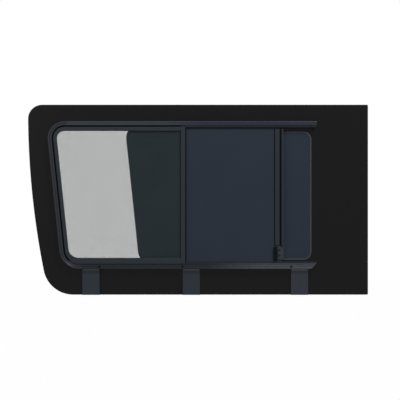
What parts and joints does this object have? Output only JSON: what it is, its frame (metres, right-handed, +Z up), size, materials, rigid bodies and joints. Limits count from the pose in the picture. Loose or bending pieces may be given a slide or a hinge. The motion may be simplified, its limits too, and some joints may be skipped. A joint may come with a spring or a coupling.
{
  "type": "sliding van window",
  "caption": "Bonded van side window: dark fixed pane with black print, bent track, sliding sash with pull strip and catch, insect screen and drain ducts.",
  "frame": {"origin": "on the face of the bonding band that goes against the van's body, in the middle of the upper strip", "axes": "+X along the van towards the square end of the window, +Y out of the van, +Z up"},
  "size_m": [1.156, 0.0275, 0.646],
  "materials": {
    "pane_glass": "dark privacy tint, polished",
    "sash_glass": "dark privacy tint, polished",
    "black_print": "matt black fired print",
    "track_metal": "satin black anodised aluminium",
    "screen_metal": "satin black painted aluminium",
    "seal_rubber": "matt black rubber",
    "wiper_pile": "black brush pile",
    "net_cloth": "black woven net",
    "duct_plastic": "fine grained black moulding",
    "black_plastic": "matt black moulding"
  },
  "bodies": {
    "frame": {"outer_glass": "pane_glass", "bonding_band": "black_print", "printed_mask": "black_print", "top_rail": "track_metal", "bottom_rail": "track_metal", "front_upright": "track_metal", "track_bond": "seal_rubber", "top_run_channel": "seal_rubber", "bottom_run_channel": "seal_rubber", "front_run_channel": "seal_rubber", "top_end_plug": "black_plastic", "bottom_end_plug": "black_plastic", "aperture_seal": "seal_rubber", "screen_frame": "screen_metal", "mullion": "screen_metal", "insect_net": "net_cloth", "mullion_wiper": "wiper_pile", "drain_duct_front": "duct_plastic", "drain_duct_middle": "duct_plastic", "drain_duct_rear": "duct_plastic"},
    "sash": {"sliding_glass": "sash_glass", "pull_strip": "screen_metal", "catch_plate": "duct_plastic"},
    "catch": {"catch_bolt": "black_plastic"}
  },
  "joints": [
    {"name": "sash_slide", "type": "slide", "parent": "frame", "child": "sash", "axis": [1, 0, 0], "range_m": [-0.2592, 0.096]},
    {"name": "catch_lift", "type": "slide", "parent": "sash", "child": "catch", "axis": [0, 0, 1], "range_m": [0, 0.004], "stiffness_N_per_m": 300}
  ]
}
